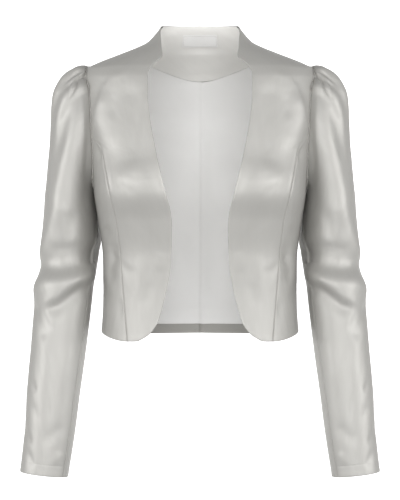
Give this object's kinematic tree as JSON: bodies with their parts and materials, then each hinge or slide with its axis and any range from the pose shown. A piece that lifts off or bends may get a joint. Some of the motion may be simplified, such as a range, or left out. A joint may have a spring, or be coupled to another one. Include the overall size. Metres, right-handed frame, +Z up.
{
  "type": "bolero jacket",
  "caption": "Cropped open-front satin jacket with a stand collar, princess seams, pleated sleeve heads and long fitted sleeves, held out in its worn shape.",
  "frame": {"origin": "between the shoulders, level with the base of the collar, where the wearer's neck and shoulders carry the jacket", "axes": "+Z up the wearer's body, +X to the wearer's left, +Y to the wearer's back"},
  "size_m": [0.5336, 0.2417, 0.6775],
  "materials": {
    "outer_satin": "satin weave with a soft sheen, silver grey",
    "lining": "plain light lining with a faint sheen",
    "label": "woven tape, bare"
  },
  "bodies": {
    "root": {"front_left": "outer_satin", "front_right": "outer_satin", "side_front_left": "outer_satin", "side_front_right": "outer_satin", "back_left": "outer_satin", "back_right": "outer_satin", "sleeve_upper_left": "outer_satin", "sleeve_upper_right": "outer_satin", "sleeve_under_left": "outer_satin", "sleeve_under_right": "outer_satin", "back_neck_facing": "outer_satin", "back_lining": "lining", "label": "label"}
  },
  "joints": []
}
